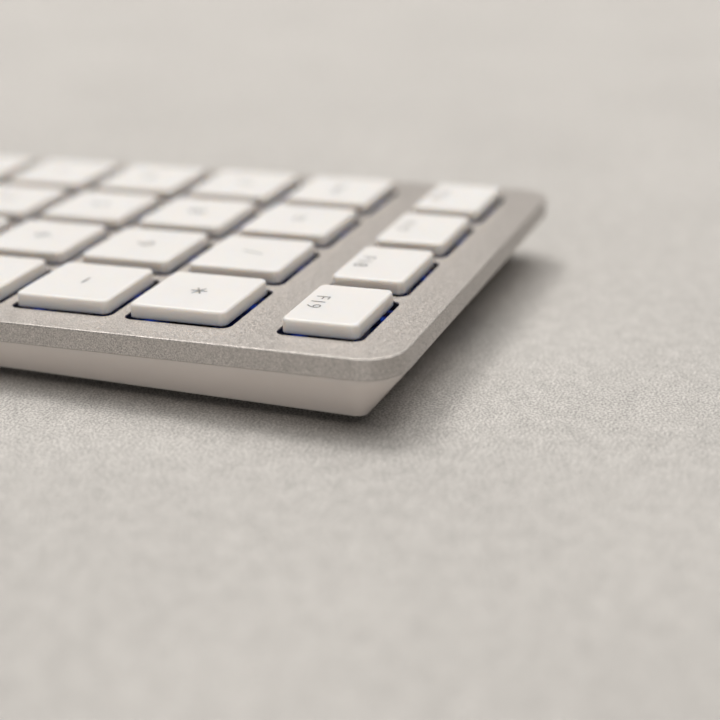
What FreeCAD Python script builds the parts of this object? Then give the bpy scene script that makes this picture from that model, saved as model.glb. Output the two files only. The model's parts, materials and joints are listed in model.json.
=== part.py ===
import FreeCAD, Part

# Slim numeric keypad: a white tapered base, a thin silver top cover with one well per key, and
# 22 low keycaps, each on a plastic scissor over a rubber dome, a three-foil membrane and a steel
# support plate.  A small controller board with a USB-C socket sits behind the plate.
#
# Everything above the desk is drawn in the deck frame: origin at the centre of the cover's top
# face, X to the right, Y to the rear, Z out of the keys.  The deck leans forward, so each
# sub-part's Placement turns that frame about X and lifts it to its height over the desk.

import math
import os

import Sketcher

doc = FreeCAD.newDocument("numeric_keypad")
sheet = doc.addObject("Spreadsheet::Sheet", "dims")

DIMENSIONS = {
    # layout
    "key_pitch": 19.05,
    "cap_size": 15.5,
    "function_cap_depth": 11.6,
    "well_gap": 0.8,
    "well_corner": 1.6,
    "cover_width": 86.0,
    "cover_depth": 130.0,
    "first_row_y": 29.43,
    "function_row_y": 51.47,
    # attitude of the deck over the desk
    "deck_tilt": 1.74,
    "deck_height": 9.73,
    "foot_height": 1.2,
    # top cover
    "cover_corner": 6.0,
    "cover_skirt": 3.05,
    "cover_roof": 1.5,
    "cover_wall": 1.4,
    "cover_edge": 0.28,
    "parting_height": 0.1,
    "parting_depth": 0.25,
    # keycaps
    "cap_rise": 2.1,
    "cap_corner": 1.1,
    "cap_edge": 0.45,
    "cap_draft": 2.7,
    "cap_wall": 1.1,
    "cap_roof": 1.1,
    "hollow_corner": 0.5,
    # scissors, all bars round
    "bar_radius": 0.4,
    "pin_radius": 0.35,
    "running_gap": 0.05,
    "outer_length": 10.6,
    "inner_length": 8.2,
    "outer_half_width": 4.2,
    "inner_half_width": 3.2,
    "arm_width": 0.85,
    "arm_thickness": 0.75,
    "top_bar_height": 0.35,
    "bottom_bar_height": -2.05,
    # foils and support plate
    "membrane_top_face": -2.55,
    "foil_thickness": 0.15,
    "plate_thickness": 0.4,
    "sheet_margin": 1.4,
    "hook_width": 1.2,
    "hook_spread": 1.25,
    "dome_radius": 2.3,
    # stabiliser wires of the two long keys
    "stabiliser_arm": 5.5,
    "stabiliser_bar_height": 0.5,
    "stabiliser_bar_y": 5.2,
    "stabiliser_arm_x": 11.8,
    "stabiliser_end_x": 13.2,
    # base
    "base_side_slope": 0.57,
    "base_end_slope": 0.85,
    "base_foot_corner": 1.5,
    "base_wall": 1.9,
    "base_floor": 1.5,
    "loft_depth": 7.6,
    # case screws
    "screw_x": 32.0,
    "screw_rear_y": 41.55,
    "screw_front_y": -58.6,
    "screw_radius": 1.0,
    "screw_head_radius": 2.0,
    "screw_head_height": 1.2,
    "screw_seat": -4.9,
    "boss_radius": 2.1,
    "stake_radius": 0.7,
    # controller board and its socket
    "board_width": 52.0,
    "board_front_y": 46.4,
    "board_rear_y": 57.6,
    "board_top": -5.8,
    "board_thickness": 1.0,
    "socket_width": 8.94,
    "socket_height": 3.16,
    "socket_length": 7.3,
    "socket_sheet": 0.3,
    "socket_centre_z": -6.3,
    "socket_mouth_y": 59.0,
    "recess_width": 13.4,
    "recess_back_y": 59.2,
    "recess_back_wall": 1.2,
    "tail_width": 16.0,
    "tail_x": 17.0,
    "tail_root_y": 42.6,
    "tail_bend_y": 43.9,
    "tail_end_y": 49.8,
    "clamp_width": 23.2,
    "clamp_depth": 2.9,
    "clamp_thickness": 1.0,
    # rubber feet
    "foot_length": 16.0,
    "foot_depth": 6.0,
    "foot_recess": 0.5,
    "foot_x": 25.0,
    "foot_rear_y": 51.5,
    "foot_front_y": -50.0,
}


def fill_sheet():
    """One row for each driving dimension, with the cell named after it."""
    for row, (name, number) in enumerate(DIMENSIONS.items(), start=1):
        sheet.set(f"A{row}", name)
        sheet.set(f"B{row}", str(number))
        sheet.setAlias(f"B{row}", name)
    doc.recompute()


def value(expression):
    """Number that an expression in the sheet's names gives, in millimetres or degrees."""
    result = sheet.evalExpression(expression)
    return float(getattr(result, "Value", result))


fill_sheet()

vector = FreeCAD.Vector
X_AXIS = vector(1, 0, 0)
Y_AXIS = vector(0, 1, 0)
Z_AXIS = vector(0, 0, 1)

# Heights that several pieces share, as expressions in the sheet's names.
ROOF_UNDER = "(dims.cap_rise - dims.cap_roof)"
FOIL_BOTTOM = "(dims.membrane_top_face - 3 * dims.foil_thickness)"
PLATE_BOTTOM = "(dims.membrane_top_face - 3 * dims.foil_thickness - dims.plate_thickness)"
SCISSOR_RISE = "(dims.top_bar_height - dims.bottom_bar_height)"
OUTER_ANGLE = f"asin({SCISSOR_RISE} / dims.outer_length)"
INNER_ANGLE = f"asin({SCISSOR_RISE} / dims.inner_length)"
OUTER_BAR_X = f"(dims.outer_length / 2 * cos({OUTER_ANGLE}))"
INNER_BAR_X = f"(dims.inner_length / 2 * cos({INNER_ANGLE}))"
BASE_UNDER = "((dims.foot_height - dims.deck_height) / cos(dims.deck_tilt * 1 deg))"
STABILISER_RISE = "(dims.stabiliser_bar_height - dims.bottom_bar_height)"
STABILISER_ANGLE = f"asin({STABILISER_RISE} / dims.stabiliser_arm)"
STABILISER_PIVOT_Y = f"(dims.stabiliser_bar_y - dims.stabiliser_arm * cos({STABILISER_ANGLE}))"


# ---------------------------------------------------------------- sketch and body helpers

def new_body(name):
    return doc.addObject("PartDesign::Body", name)


def sketch_on(body, role, name, x="0", y="0", lift="0"):
    """Sketch on one of the body's own origin planes, moved by x and y in the plane and lifted."""
    sketch = body.newObject("Sketcher::SketchObject", name)
    plane = [feature for feature in body.Origin.OriginFeatures if feature.Role == role][0]
    sketch.AttachmentSupport = (plane, "")
    sketch.MapMode = "FlatFace"
    sketch.AttachmentOffset = FreeCAD.Placement(vector(value(x), value(y), value(lift)), FreeCAD.Rotation())
    for axis, expression in (("x", x), ("y", y), ("z", lift)):
        if expression != "0":
            sketch.setExpression(f"AttachmentOffset.Base.{axis}", expression)
    return sketch


def constrain(sketch, kind, *arguments, expression):
    """Dimensional constraint that follows an expression."""
    index = sketch.addConstraint(Sketcher.Constraint(kind, *arguments, value(expression)))
    sketch.setExpression(f"Constraints[{index}]", expression)


def polygon(sketch, corners):
    """Closed polygon whose corners are pairs of expressions."""
    points = [vector(value(x), value(y), 0) for x, y in corners]
    first = sketch.GeometryCount
    count = len(points)
    for index in range(count):
        sketch.addGeometry(Part.LineSegment(points[index], points[(index + 1) % count]))
    for index in range(count):
        following = first + (index + 1) % count
        sketch.addConstraint(Sketcher.Constraint("Coincident", first + index, 2, following, 1))
    for index, (x, y) in enumerate(corners):
        constrain(sketch, "DistanceX", -1, 1, first + index, 1, expression=x)
        constrain(sketch, "DistanceY", -1, 1, first + index, 1, expression=y)


def box_outline(sketch, x, y, width, depth):
    """Rectangle about the point x, y."""
    low_x, high_x = f"{x} - {width} / 2", f"{x} + {width} / 2"
    low_y, high_y = f"{y} - {depth} / 2", f"{y} + {depth} / 2"
    polygon(sketch, [(low_x, low_y), (high_x, low_y), (high_x, high_y), (low_x, high_y)])


def circle(sketch, x, y, radius):
    index = sketch.addGeometry(Part.Circle(vector(value(x), value(y), 0), Z_AXIS, value(radius)))
    constrain(sketch, "DistanceX", -1, 1, index, 3, expression=x)
    constrain(sketch, "DistanceY", -1, 1, index, 3, expression=y)
    constrain(sketch, "Radius", index, expression=radius)


def rounded_rectangle(sketch, width, depth, radius):
    """Rectangle about the sketch's origin with four equal round corners."""
    half_x, half_y, corner = value(width) / 2, value(depth) / 2, value(radius)
    lines, arcs = [], []
    for turn in range(4):
        angle = turn * math.pi / 2
        sign_x = 1 if turn in (0, 3) else -1
        sign_y = 1 if turn in (0, 1) else -1
        centre = vector(sign_x * (half_x - corner), sign_y * (half_y - corner), 0)
        round_corner = Part.Circle(centre, Z_AXIS, corner)
        arcs.append(sketch.addGeometry(Part.ArcOfCircle(round_corner, angle, angle + math.pi / 2)))
    for turn in range(4):
        start = sketch.getPoint(arcs[turn], 2)
        end = sketch.getPoint(arcs[(turn + 1) % 4], 1)
        lines.append(sketch.addGeometry(Part.LineSegment(start, end)))
    for turn in range(4):
        sketch.addConstraint(Sketcher.Constraint("Tangent", arcs[turn], 2, lines[turn], 1))
        sketch.addConstraint(Sketcher.Constraint("Tangent", lines[turn], 2, arcs[(turn + 1) % 4], 1))
        direction = "Horizontal" if turn % 2 == 0 else "Vertical"
        sketch.addConstraint(Sketcher.Constraint(direction, lines[turn]))
    for turn in range(1, 4):
        sketch.addConstraint(Sketcher.Constraint("Equal", arcs[0], arcs[turn]))
    constrain(sketch, "Radius", arcs[0], expression=radius)
    constrain(sketch, "DistanceX", -1, 1, arcs[0], 3, expression=f"{width} / 2 - {radius}")
    constrain(sketch, "DistanceY", -1, 1, arcs[0], 3, expression=f"{depth} / 2 - {radius}")
    sketch.addConstraint(Sketcher.Constraint("Symmetric", arcs[0], 3, arcs[2], 3, -1, 1))


def pad(body, sketch, length, name, down=False, midplane=False, taper="0"):
    feature = body.newObject("PartDesign::Pad", name)
    feature.Profile = sketch
    feature.setExpression("Length", length)
    feature.Midplane = midplane
    feature.Reversed = down
    if taper != "0":
        feature.setExpression("TaperAngle", taper)
    return feature


def pocket(body, sketch, length, name, up=False, midplane=False):
    """Cut that goes down from the sketch, or up from it, and must take material away."""
    doc.recompute()
    before = body.Shape.Volume
    feature = body.newObject("PartDesign::Pocket", name)
    feature.Profile = sketch
    feature.setExpression("Length", length)
    feature.Midplane = midplane
    feature.Reversed = up
    doc.recompute()
    if body.Shape.Volume > before - 1e-6:
        raise RuntimeError(f"{name} in {body.Name} cuts nothing")
    return feature


def edges_at(body, height, tolerance=1e-3):
    """Names of the edges that lie level at a height in the body's own frame."""
    names = []
    shape = body.Shape.copy()
    shape.Placement = FreeCAD.Placement()
    for index, edge in enumerate(shape.Edges, start=1):
        box = edge.BoundBox
        if abs(box.ZMin - height) < tolerance and abs(box.ZMax - height) < tolerance:
            names.append(f"Edge{index}")
    return names


def dress_top_edges(body, kind, size_name, height, size):
    """Fillet or chamfer on every edge at a height in the body's own frame."""
    doc.recompute()
    base = body.Tip
    names = edges_at(body, value(height))
    dressing = body.newObject(kind, "dressed_edges")
    dressing.Base = (base, names)
    dressing.setExpression(size_name, size)
    body.Tip = dressing


def cut(name, base, tool):
    solid = doc.addObject("Part::Cut", name)
    solid.Base = base
    solid.Tool = tool
    return solid


def common(name, first, second):
    solid = doc.addObject("Part::Common", name)
    solid.Base = first
    solid.Tool = second
    return solid


def fuse(name, *pieces):
    solid = doc.addObject("Part::MultiFuse", name)
    solid.Shapes = list(pieces)
    return solid


def shape_feature(name, *shapes):
    """Helper or sub-part whose solids are worked out from other shapes."""
    feature = doc.addObject("Part::Feature", name)
    feature.Shape = Part.makeCompound(list(shapes))
    return feature


def compound_feature(name, shapes):
    return shape_feature(name, *shapes)


subparts = []


def tilt_with_deck(solid, x="0", y="0", z="0", turn="0"):
    """Carry a finished sub-part from a spot on the deck to its place over the desk."""
    lean = FreeCAD.Rotation(X_AXIS, value("dims.deck_tilt"))
    spin = FreeCAD.Rotation(Z_AXIS, value(turn))
    solid.Placement = FreeCAD.Placement(vector(0, 0, 0), lean * spin)
    if turn == "0":
        solid.setExpression("Placement.Rotation.Angle", "dims.deck_tilt * 1 deg")
    lean_angle = "(dims.deck_tilt * 1 deg)"
    solid.setExpression("Placement.Base.x", x)
    solid.setExpression("Placement.Base.y", f"({y}) * cos{lean_angle} - ({z}) * sin{lean_angle}")
    solid.setExpression("Placement.Base.z",
                        f"dims.deck_height + ({y}) * sin{lean_angle} + ({z}) * cos{lean_angle}")


def hand_over(solid, node, on_deck=True):
    """Name a finished sub-part and put it on the list that is written out."""
    solid.Label = node
    if on_deck:
        tilt_with_deck(solid)
    subparts.append(solid)


# ---------------------------------------------------------------- key sites

class Site:
    """One key: its node name, its centre on the deck and its size as drawn, long side along X."""

    def __init__(self, node, column, row_y, width="dims.cap_size", depth="dims.cap_size", turn="0"):
        self.node = node
        self.x = f"(dims.key_pitch * {column})"
        self.y = f"({row_y})"
        self.width = width
        self.depth = depth
        self.turn = turn
        self.is_long = width != "dims.cap_size"

    def placement(self):
        """Place of the key's own frame on the deck."""
        spin = FreeCAD.Rotation(Z_AXIS, value(self.turn))
        return FreeCAD.Placement(vector(value(self.x), value(self.y), 0), spin)

    def put(self, shape):
        """Copy of a shape from the key's own frame onto the deck."""
        placed = shape.copy()
        placed.Placement = self.placement().multiply(placed.Placement)
        return placed


COLUMNS = [-1.5, -0.5, 0.5, 1.5]
ROWS = {row: f"dims.first_row_y - dims.key_pitch * {row}" for row in range(5)}
LONG_CAP = "(dims.cap_size + dims.key_pitch)"


def key_sites():
    sites = []
    for column, node in zip(COLUMNS, ("key_f16", "key_f17", "key_f18", "key_f19")):
        sites.append(Site(node, column, "dims.function_row_y", depth="dims.function_cap_depth"))
    for row, nodes in enumerate((
        ("key_clear", "key_equals", "key_divide", "key_multiply"),
        ("key_7", "key_8", "key_9", "key_minus"),
        ("key_4", "key_5", "key_6", "key_plus"),
        ("key_1", "key_2", "key_3"),
    )):
        for column, node in zip(COLUMNS, nodes):
            sites.append(Site(node, column, ROWS[row]))
    enter_y = "dims.first_row_y - dims.key_pitch * 3.5"
    sites.append(Site("key_enter", COLUMNS[3], enter_y, width=LONG_CAP, turn="90"))
    sites.append(Site("key_0", -1, ROWS[4], width=LONG_CAP))
    sites.append(Site("key_decimal", COLUMNS[2], ROWS[4]))
    return sites


SITES = key_sites()
LONG_SITES = [site for site in SITES if site.is_long]


def copies(shape, sites):
    return [site.put(shape) for site in sites]


# ---------------------------------------------------------------- keycaps

CLIP_WALL = "0.25"
CLIP_LIP = "0.3"
CLIP_WIDTH = f"(2 * (dims.bar_radius + {CLIP_WALL}))"
CLIP_DEPTH = "0.9"
CLIP_Y = "1.85"
MOUTH_WIDTH = "(2 * dims.bar_radius - 0.1)"
MOUTH_HEIGHT = "1"
BORE = "(dims.bar_radius + dims.running_gap)"

# The two hooks under a long cap: a leg in front of the wire and a lip under it.
HOOK_X = 8
HOOK_WIDTH = "1.2"
LEG_FRONT = "(dims.stabiliser_bar_y - 0.9)"
LEG_THICKNESS = "0.4"
LIP_END = "(dims.stabiliser_bar_y + 1)"
LIP_TOP = "(dims.stabiliser_bar_height - dims.bar_radius - 0.1)"
LIP_THICKNESS = "0.35"


def scissor_clips(cap):
    """Four snap clips under the roof that hold the scissor's two upper bars."""
    blocks = sketch_on(cap, "XY_Plane", "clip_outline", lift=ROOF_UNDER)
    bars = (OUTER_BAR_X, f"-{INNER_BAR_X}")
    for bar_x in bars:
        for side in ("", "-"):
            box_outline(blocks, bar_x, side + CLIP_Y, CLIP_WIDTH, CLIP_DEPTH)
    clip_height = f"{ROOF_UNDER} - dims.top_bar_height + {CLIP_LIP}"
    pad(cap, blocks, clip_height, "clips", down=True)
    bores = sketch_on(cap, "XZ_Plane", "clip_bore_outline")
    mouths = sketch_on(cap, "XZ_Plane", "clip_mouth_outline")
    for bar_x in bars:
        circle(bores, bar_x, "dims.top_bar_height", BORE)
        box_outline(mouths, bar_x, f"dims.top_bar_height - {MOUTH_HEIGHT} / 2", MOUTH_WIDTH, MOUTH_HEIGHT)
    clip_span = f"2 * ({CLIP_Y} + {CLIP_DEPTH})"
    pocket(cap, bores, clip_span, "clip_bores", midplane=True)
    pocket(cap, mouths, clip_span, "clip_mouths", midplane=True)


def stabiliser_clips(cap):
    """Two hooks under a long key's roof in which the stabiliser wire slides."""
    leg_rear = f"({LEG_FRONT} + {LEG_THICKNESS})"
    lip_under = f"({LIP_TOP} - {LIP_THICKNESS})"
    for side in (-1, 1):
        hook = sketch_on(cap, "YZ_Plane", "stabiliser_hook", lift=str(side * HOOK_X))
        polygon(hook, [
            (LEG_FRONT, ROOF_UNDER), (LEG_FRONT, lip_under), (LIP_END, lip_under),
            (LIP_END, LIP_TOP), (leg_rear, LIP_TOP), (leg_rear, ROOF_UNDER),
        ])
        pad(cap, hook, HOOK_WIDTH, "stabiliser_hook_pad", midplane=True)


def keycap(site):
    """Thin cap with drafted sides, a rounded top edge, a hollow underside and its clips."""
    cap = new_body(site.node + "_body")
    outline = sketch_on(cap, "XY_Plane", "outline")
    rounded_rectangle(outline, site.width, site.depth, "dims.cap_corner")
    pad(cap, outline, "dims.cap_rise", "cap", taper="-dims.cap_draft")
    dress_top_edges(cap, "PartDesign::Fillet", "Radius", "dims.cap_rise", "dims.cap_edge")
    hollow = sketch_on(cap, "XY_Plane", "hollow_outline")
    hollow_width = f"({site.width} - 2 * dims.cap_wall)"
    hollow_depth = f"({site.depth} - 2 * dims.cap_wall)"
    rounded_rectangle(hollow, hollow_width, hollow_depth, "dims.hollow_corner")
    pocket(cap, hollow, ROOF_UNDER, "hollow", up=True)
    scissor_clips(cap)
    if site.is_long:
        stabiliser_clips(cap)
    cap.Label = site.node
    tilt_with_deck(cap, site.x, site.y, turn=site.turn)
    subparts.append(cap)


# ---------------------------------------------------------------- scissors and domes

EYE_RADIUS = "(dims.pin_radius + 0.35)"
CLEAR_OF_EYES = "(dims.pin_radius + 0.4)"
CLEAR_OF_PINS = "(dims.pin_radius + 0.1)"


def scissor_outer():
    """Outer frame lying flat about its pivot: two arms joined by a round bar at each end."""
    frame = new_body("scissor_outer_master")
    arms = sketch_on(frame, "XY_Plane", "arms")
    for side in ("", "-"):
        arm_y = f"{side}(dims.outer_half_width - dims.arm_width / 2)"
        box_outline(arms, "0", arm_y, "dims.outer_length", "dims.arm_width")
    pad(frame, arms, "dims.arm_thickness", "arm_pad", midplane=True)
    bars = sketch_on(frame, "XZ_Plane", "bars")
    for side in ("", "-"):
        circle(bars, f"{side}dims.outer_length / 2", "0", "dims.bar_radius")
    pad(frame, bars, "2 * dims.outer_half_width", "bar_pad", midplane=True)
    holes = sketch_on(frame, "XZ_Plane", "pin_hole")
    circle(holes, "0", "0", "dims.pin_radius + dims.running_gap")
    # The holes are wider than half the arm's thickness, so each arm has a round eye about them.
    eyes = sketch_on(frame, "XZ_Plane", "eyes")
    circle(eyes, "0", "0", EYE_RADIUS)
    pad(frame, eyes, "2 * dims.outer_half_width", "eye_pad", midplane=True)
    inside = sketch_on(frame, "XZ_Plane", "eye_inside")
    circle(inside, "0", "0", CLEAR_OF_EYES)
    pocket(frame, inside, "2 * (dims.outer_half_width - dims.arm_width)", "between_eyes", midplane=True)
    pocket(frame, holes, "2 * dims.outer_half_width", "pin_holes", midplane=True)
    return frame


def scissor_inner():
    """Inner frame lying flat about its pivot, with a pin out of each arm."""
    frame = new_body("scissor_inner_master")
    pins = sketch_on(frame, "XZ_Plane", "pins")
    circle(pins, "0", "0", "dims.pin_radius")
    pad(frame, pins, "2 * dims.outer_half_width", "pin_pad", midplane=True)
    arms = sketch_on(frame, "XY_Plane", "arms")
    for side in ("", "-"):
        arm_y = f"{side}(dims.inner_half_width - dims.arm_width / 2)"
        box_outline(arms, "0", arm_y, "dims.inner_length", "dims.arm_width")
    pad(frame, arms, "dims.arm_thickness", "arm_pad", midplane=True)
    inside = sketch_on(frame, "XZ_Plane", "between_pins")
    circle(inside, "0", "0", CLEAR_OF_PINS)
    pocket(frame, inside, "2 * (dims.inner_half_width - dims.arm_width)", "between_arms", midplane=True)
    bars = sketch_on(frame, "XZ_Plane", "bars")
    for side in ("", "-"):
        circle(bars, f"{side}dims.inner_length / 2", "0", "dims.bar_radius")
    pad(frame, bars, "2 * dims.inner_half_width", "bar_pad", midplane=True)
    return frame


def raise_scissor(master, angle):
    """Turn a flat frame to its rest angle about the pivot pin, half way up the scissor."""
    pivot_height = value("(dims.top_bar_height + dims.bottom_bar_height) / 2")
    lean = FreeCAD.Rotation(Y_AXIS, angle)
    raised = master.Shape.copy()
    raised.Placement = FreeCAD.Placement(vector(0, 0, pivot_height), lean)
    return raised


PLUNGER_RADIUS = "0.6"
PLUNGER_LENGTH = "2.2"
DOME_ROOF = "1"
DOME_NECK = "1.3"
DOME_WALL = "0.3"
FLANGE = "0.35"


def rubber_dome():
    """Hollow silicone dome with a plunger inside, its foot at z = 0."""
    dome = new_body("dome_master")
    profile = sketch_on(dome, "XZ_Plane", "profile")
    top = f"({ROOF_UNDER} - dims.membrane_top_face - dims.running_gap)"
    skirt_inside = "(dims.dome_radius - 0.5)"
    polygon(profile, [
        ("0", top), ("0", f"{top} - {PLUNGER_LENGTH}"), (PLUNGER_RADIUS, f"{top} - {PLUNGER_LENGTH}"),
        (f"{PLUNGER_RADIUS} + 0.1", f"{top} - {DOME_ROOF}"), (f"{DOME_NECK} - 0.25", f"{top} - {DOME_ROOF}"),
        (f"{skirt_inside} - 0.15", FLANGE), (skirt_inside, "0"), ("dims.dome_radius", "0"),
        ("dims.dome_radius", FLANGE), (f"dims.dome_radius - {DOME_WALL}", f"{FLANGE} + 0.15"),
        (f"{DOME_NECK} + 0.1", f"{top} - {DOME_ROOF} + 0.1"), (DOME_NECK, top),
    ])
    turned = dome.newObject("PartDesign::Revolution", "dome")
    turned.Profile = profile
    turned.ReferenceAxis = (profile, ["V_Axis"])
    turned.Angle = 360
    return dome


def scissors_and_domes():
    outer, inner, dome = scissor_outer(), scissor_inner(), rubber_dome()
    doc.recompute()
    # A positive turn about Y lowers the right-hand end: the inner frame rises to the left.
    raised_outer = raise_scissor(outer, -value(OUTER_ANGLE))
    raised_inner = raise_scissor(inner, value(INNER_ANGLE))
    seated_dome = dome.Shape.copy()
    seated_dome.translate(vector(0, 0, value("dims.membrane_top_face")))
    hand_over(compound_feature("scissor_outer_group", copies(raised_outer, SITES)), "scissor_outer_frames")
    hand_over(compound_feature("scissor_inner_group", copies(raised_inner, SITES)), "scissor_inner_frames")
    hand_over(compound_feature("dome_group", copies(seated_dome, SITES)), "rubber_domes")


# ---------------------------------------------------------------- stabilisers

EYE_START = "(dims.stabiliser_arm_x + dims.bar_radius + 2 * dims.running_gap)"
EYE_X = f"(({EYE_START} + dims.stabiliser_end_x) / 2)"
EYE_LENGTH = f"(dims.stabiliser_end_x - {EYE_START})"


def stabiliser(site, node):
    """Bent wire: a long bar in the cap's hooks, two arms, and two ends that turn in the plate."""
    wire = new_body(node + "_body")
    path = sketch_on(wire, "XY_Plane", "path")
    end_x, arm_x, reach = "dims.stabiliser_end_x", "dims.stabiliser_arm_x", "dims.stabiliser_arm"
    right_half = [(end_x, "0"), (arm_x, "0"), (arm_x, reach)]
    stations = right_half + [(f"-{x}", y) for x, y in reversed(right_half)]
    points = [vector(value(x), value(y), 0) for x, y in stations]
    for start, end in zip(points, points[1:]):
        path.addGeometry(Part.LineSegment(start, end))
    for index in range(len(points) - 2):
        path.addConstraint(Sketcher.Constraint("Coincident", index, 2, index + 1, 1))
    for index, (x, y) in enumerate(stations):
        line, end_point = (index, 1) if index < len(points) - 1 else (index - 1, 2)
        constrain(path, "DistanceX", -1, 1, line, end_point, expression=x)
        constrain(path, "DistanceY", -1, 1, line, end_point, expression=y)
    section = sketch_on(wire, "YZ_Plane", "section", lift=end_x)
    circle(section, "0", "0", "dims.bar_radius")
    doc.recompute()
    bend = wire.newObject("PartDesign::AdditivePipe", "wire")
    bend.Profile = section
    bend.Spine = (path, [f"Edge{index + 1}" for index in range(len(points) - 1)])
    bend.Transition = "Round corner"
    doc.recompute()
    raised = wire.Shape.copy()
    raised.Placement = FreeCAD.Placement(
        vector(0, value(STABILISER_PIVOT_Y), value("dims.bottom_bar_height")),
        FreeCAD.Rotation(X_AXIS, value(STABILISER_ANGLE)),
    )
    hand_over(shape_feature(node + "_raised", site.put(raised)), node)


# ---------------------------------------------------------------- support plate and membrane

HOOK_SHEET = "dims.plate_thickness"
SHEET_WIDTH = "(dims.cover_width - 2 * dims.cover_wall - 2 * dims.sheet_margin)"
SHEET_DEPTH = "(dims.cover_depth - 2 * dims.cover_wall - 2 * dims.sheet_margin)"
SHEET_CORNER = "(dims.cover_corner - dims.cover_wall - dims.sheet_margin)"


def lower_bars():
    """X of the two lower bars of a scissor, in the key's own frame."""
    return (-value(OUTER_BAR_X), value(INNER_BAR_X))


HOOK_GAP = 0.06
FINGER_REACH = "0.3"
FINGER_THICKNESS = "0.3"


def bar_hook():
    """Hook bent up from the plate: a post left of the bar and a finger over it."""
    hook = new_body("bar_hook_master")
    profile = sketch_on(hook, "XZ_Plane", "profile")
    inner_face = f"-(dims.bar_radius + {HOOK_GAP})"
    outer_face = f"({inner_face} - {HOOK_SHEET})"
    finger_under = f"(dims.bar_radius + {HOOK_GAP})"
    finger_top = f"({finger_under} + {FINGER_THICKNESS})"
    root = f"({PLATE_BOTTOM} - dims.bottom_bar_height)"
    polygon(profile, [
        (outer_face, root), (inner_face, root), (inner_face, finger_under),
        (FINGER_REACH, finger_under), (FINGER_REACH, finger_top), (outer_face, finger_top),
    ])
    pad(hook, profile, "dims.hook_width", "hook", midplane=True)
    return hook


def around_bars(shape):
    """The four copies of a shape at the two lower bars of one key."""
    spread = value("dims.hook_spread")
    height = value("dims.bottom_bar_height")
    placed = []
    for bar_x in lower_bars():
        for side in (-1, 1):
            piece = shape.copy()
            piece.translate(vector(bar_x, side * spread, height))
            placed.append(piece)
    return placed


EYE_DEPTH = 2.0
EYE_TOP = 0.9


def stabiliser_eye():
    """Ear on the plate with a bore for one end of a stabiliser wire."""
    length = value(EYE_LENGTH)
    root = value(PLATE_BOTTOM) - value("dims.bottom_bar_height")
    ear = centred_box(length, EYE_DEPTH, root, EYE_TOP)
    bore = Part.makeCylinder(value(BORE), length, vector(-length / 2, 0, 0), X_AXIS)
    return ear.cut(bore)


def at_eyes(shape):
    """The two copies of a shape at the ends of one stabiliser."""
    pivot = vector(0, value(STABILISER_PIVOT_Y), value("dims.bottom_bar_height"))
    offset = vector(value(EYE_X), 0, 0)
    return [shape.translated(pivot - offset), shape.translated(pivot + offset)]


def centred_box(width, depth, low, high, x=0.0, y=0.0):
    return Part.makeBox(width, depth, high - low, vector(x - width / 2, y - depth / 2, low))


def stake_points():
    """Crossings of the webs between wells, where the cover is staked through the plate."""
    pitch, first = value("dims.key_pitch"), value("dims.first_row_y")
    places = [(column, row + 0.5) for row in range(4) for column in (-1, 0, 1)]
    return [vector(column * pitch, first - row * pitch, 0) for column, row in places]


def screw_points():
    return [
        vector(column * value("dims.screw_x"), value(y), 0)
        for y in ("dims.screw_rear_y", "dims.screw_front_y")
        for column in (-1, 0, 1)
    ]


def cylinders(points, radius, low, high):
    return [Part.makeCylinder(radius, high - low, point + vector(0, 0, low)) for point in points]


SLOT_ENDS = 0.25
FOIL_CLEARANCE = 0.25
BAY_CLEARANCE = 0.3


def bay_size():
    """Width of the socket bay in the base, and the y of its front face."""
    wall = value("dims.recess_back_wall")
    return value("dims.recess_width") + 2 * wall, value("dims.recess_back_y") - wall


def bay_notch(low, high):
    """Notch in the rear edge of the foils and the plate, round the socket bay."""
    width, front = bay_size()
    depth = value("dims.cover_depth") / 2 - front + BAY_CLEARANCE
    middle = front - BAY_CLEARANCE + depth / 2
    return centred_box(width + 2 * BAY_CLEARANCE, depth, low, high, y=middle)


def foil_openings():
    """Slots for hooks and eyes, holes for stakes and screw bosses, and the bay's notch."""
    low, high = value(FOIL_BOTTOM) - 1, value("dims.membrane_top_face") + 1
    room = 2 * FOIL_CLEARANCE
    hook_length = value(f"{HOOK_SHEET} + dims.bar_radius") + 2 * SLOT_ENDS
    # The hook's post stands to the left of its bar, and so does the middle of its slot.
    slot_x = -(value(HOOK_SHEET) / 2 + 0.1)
    slot = centred_box(hook_length + room, value("dims.hook_width") + room, -2, 1, x=slot_x)
    eye_slot = centred_box(value(EYE_LENGTH) + room, EYE_DEPTH + room, -2, 1)
    openings = [bay_notch(low, high)]
    for site in SITES:
        openings += [site.put(piece) for piece in around_bars(slot)]
    for site in LONG_SITES:
        openings += [site.put(piece) for piece in at_eyes(eye_slot)]
    openings += cylinders(stake_points(), value("dims.stake_radius") + FOIL_CLEARANCE, low, high)
    openings += cylinders(screw_points(), value("dims.boss_radius") + FOIL_CLEARANCE, low, high)
    return openings


def foil(name, top):
    """Blank sheet of film inside the cover's skirt."""
    body = new_body(name)
    outline = sketch_on(body, "XY_Plane", "outline", lift=top)
    rounded_rectangle(outline, SHEET_WIDTH, SHEET_DEPTH, SHEET_CORNER)
    pad(body, outline, "dims.foil_thickness", "film", down=True)
    return body


TAIL_SLANT = "0.5"
TAIL_GAP = 1.0
WINDOW_DEPTH = 2.6
CONTACT_RADIUS = 2.0


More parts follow.
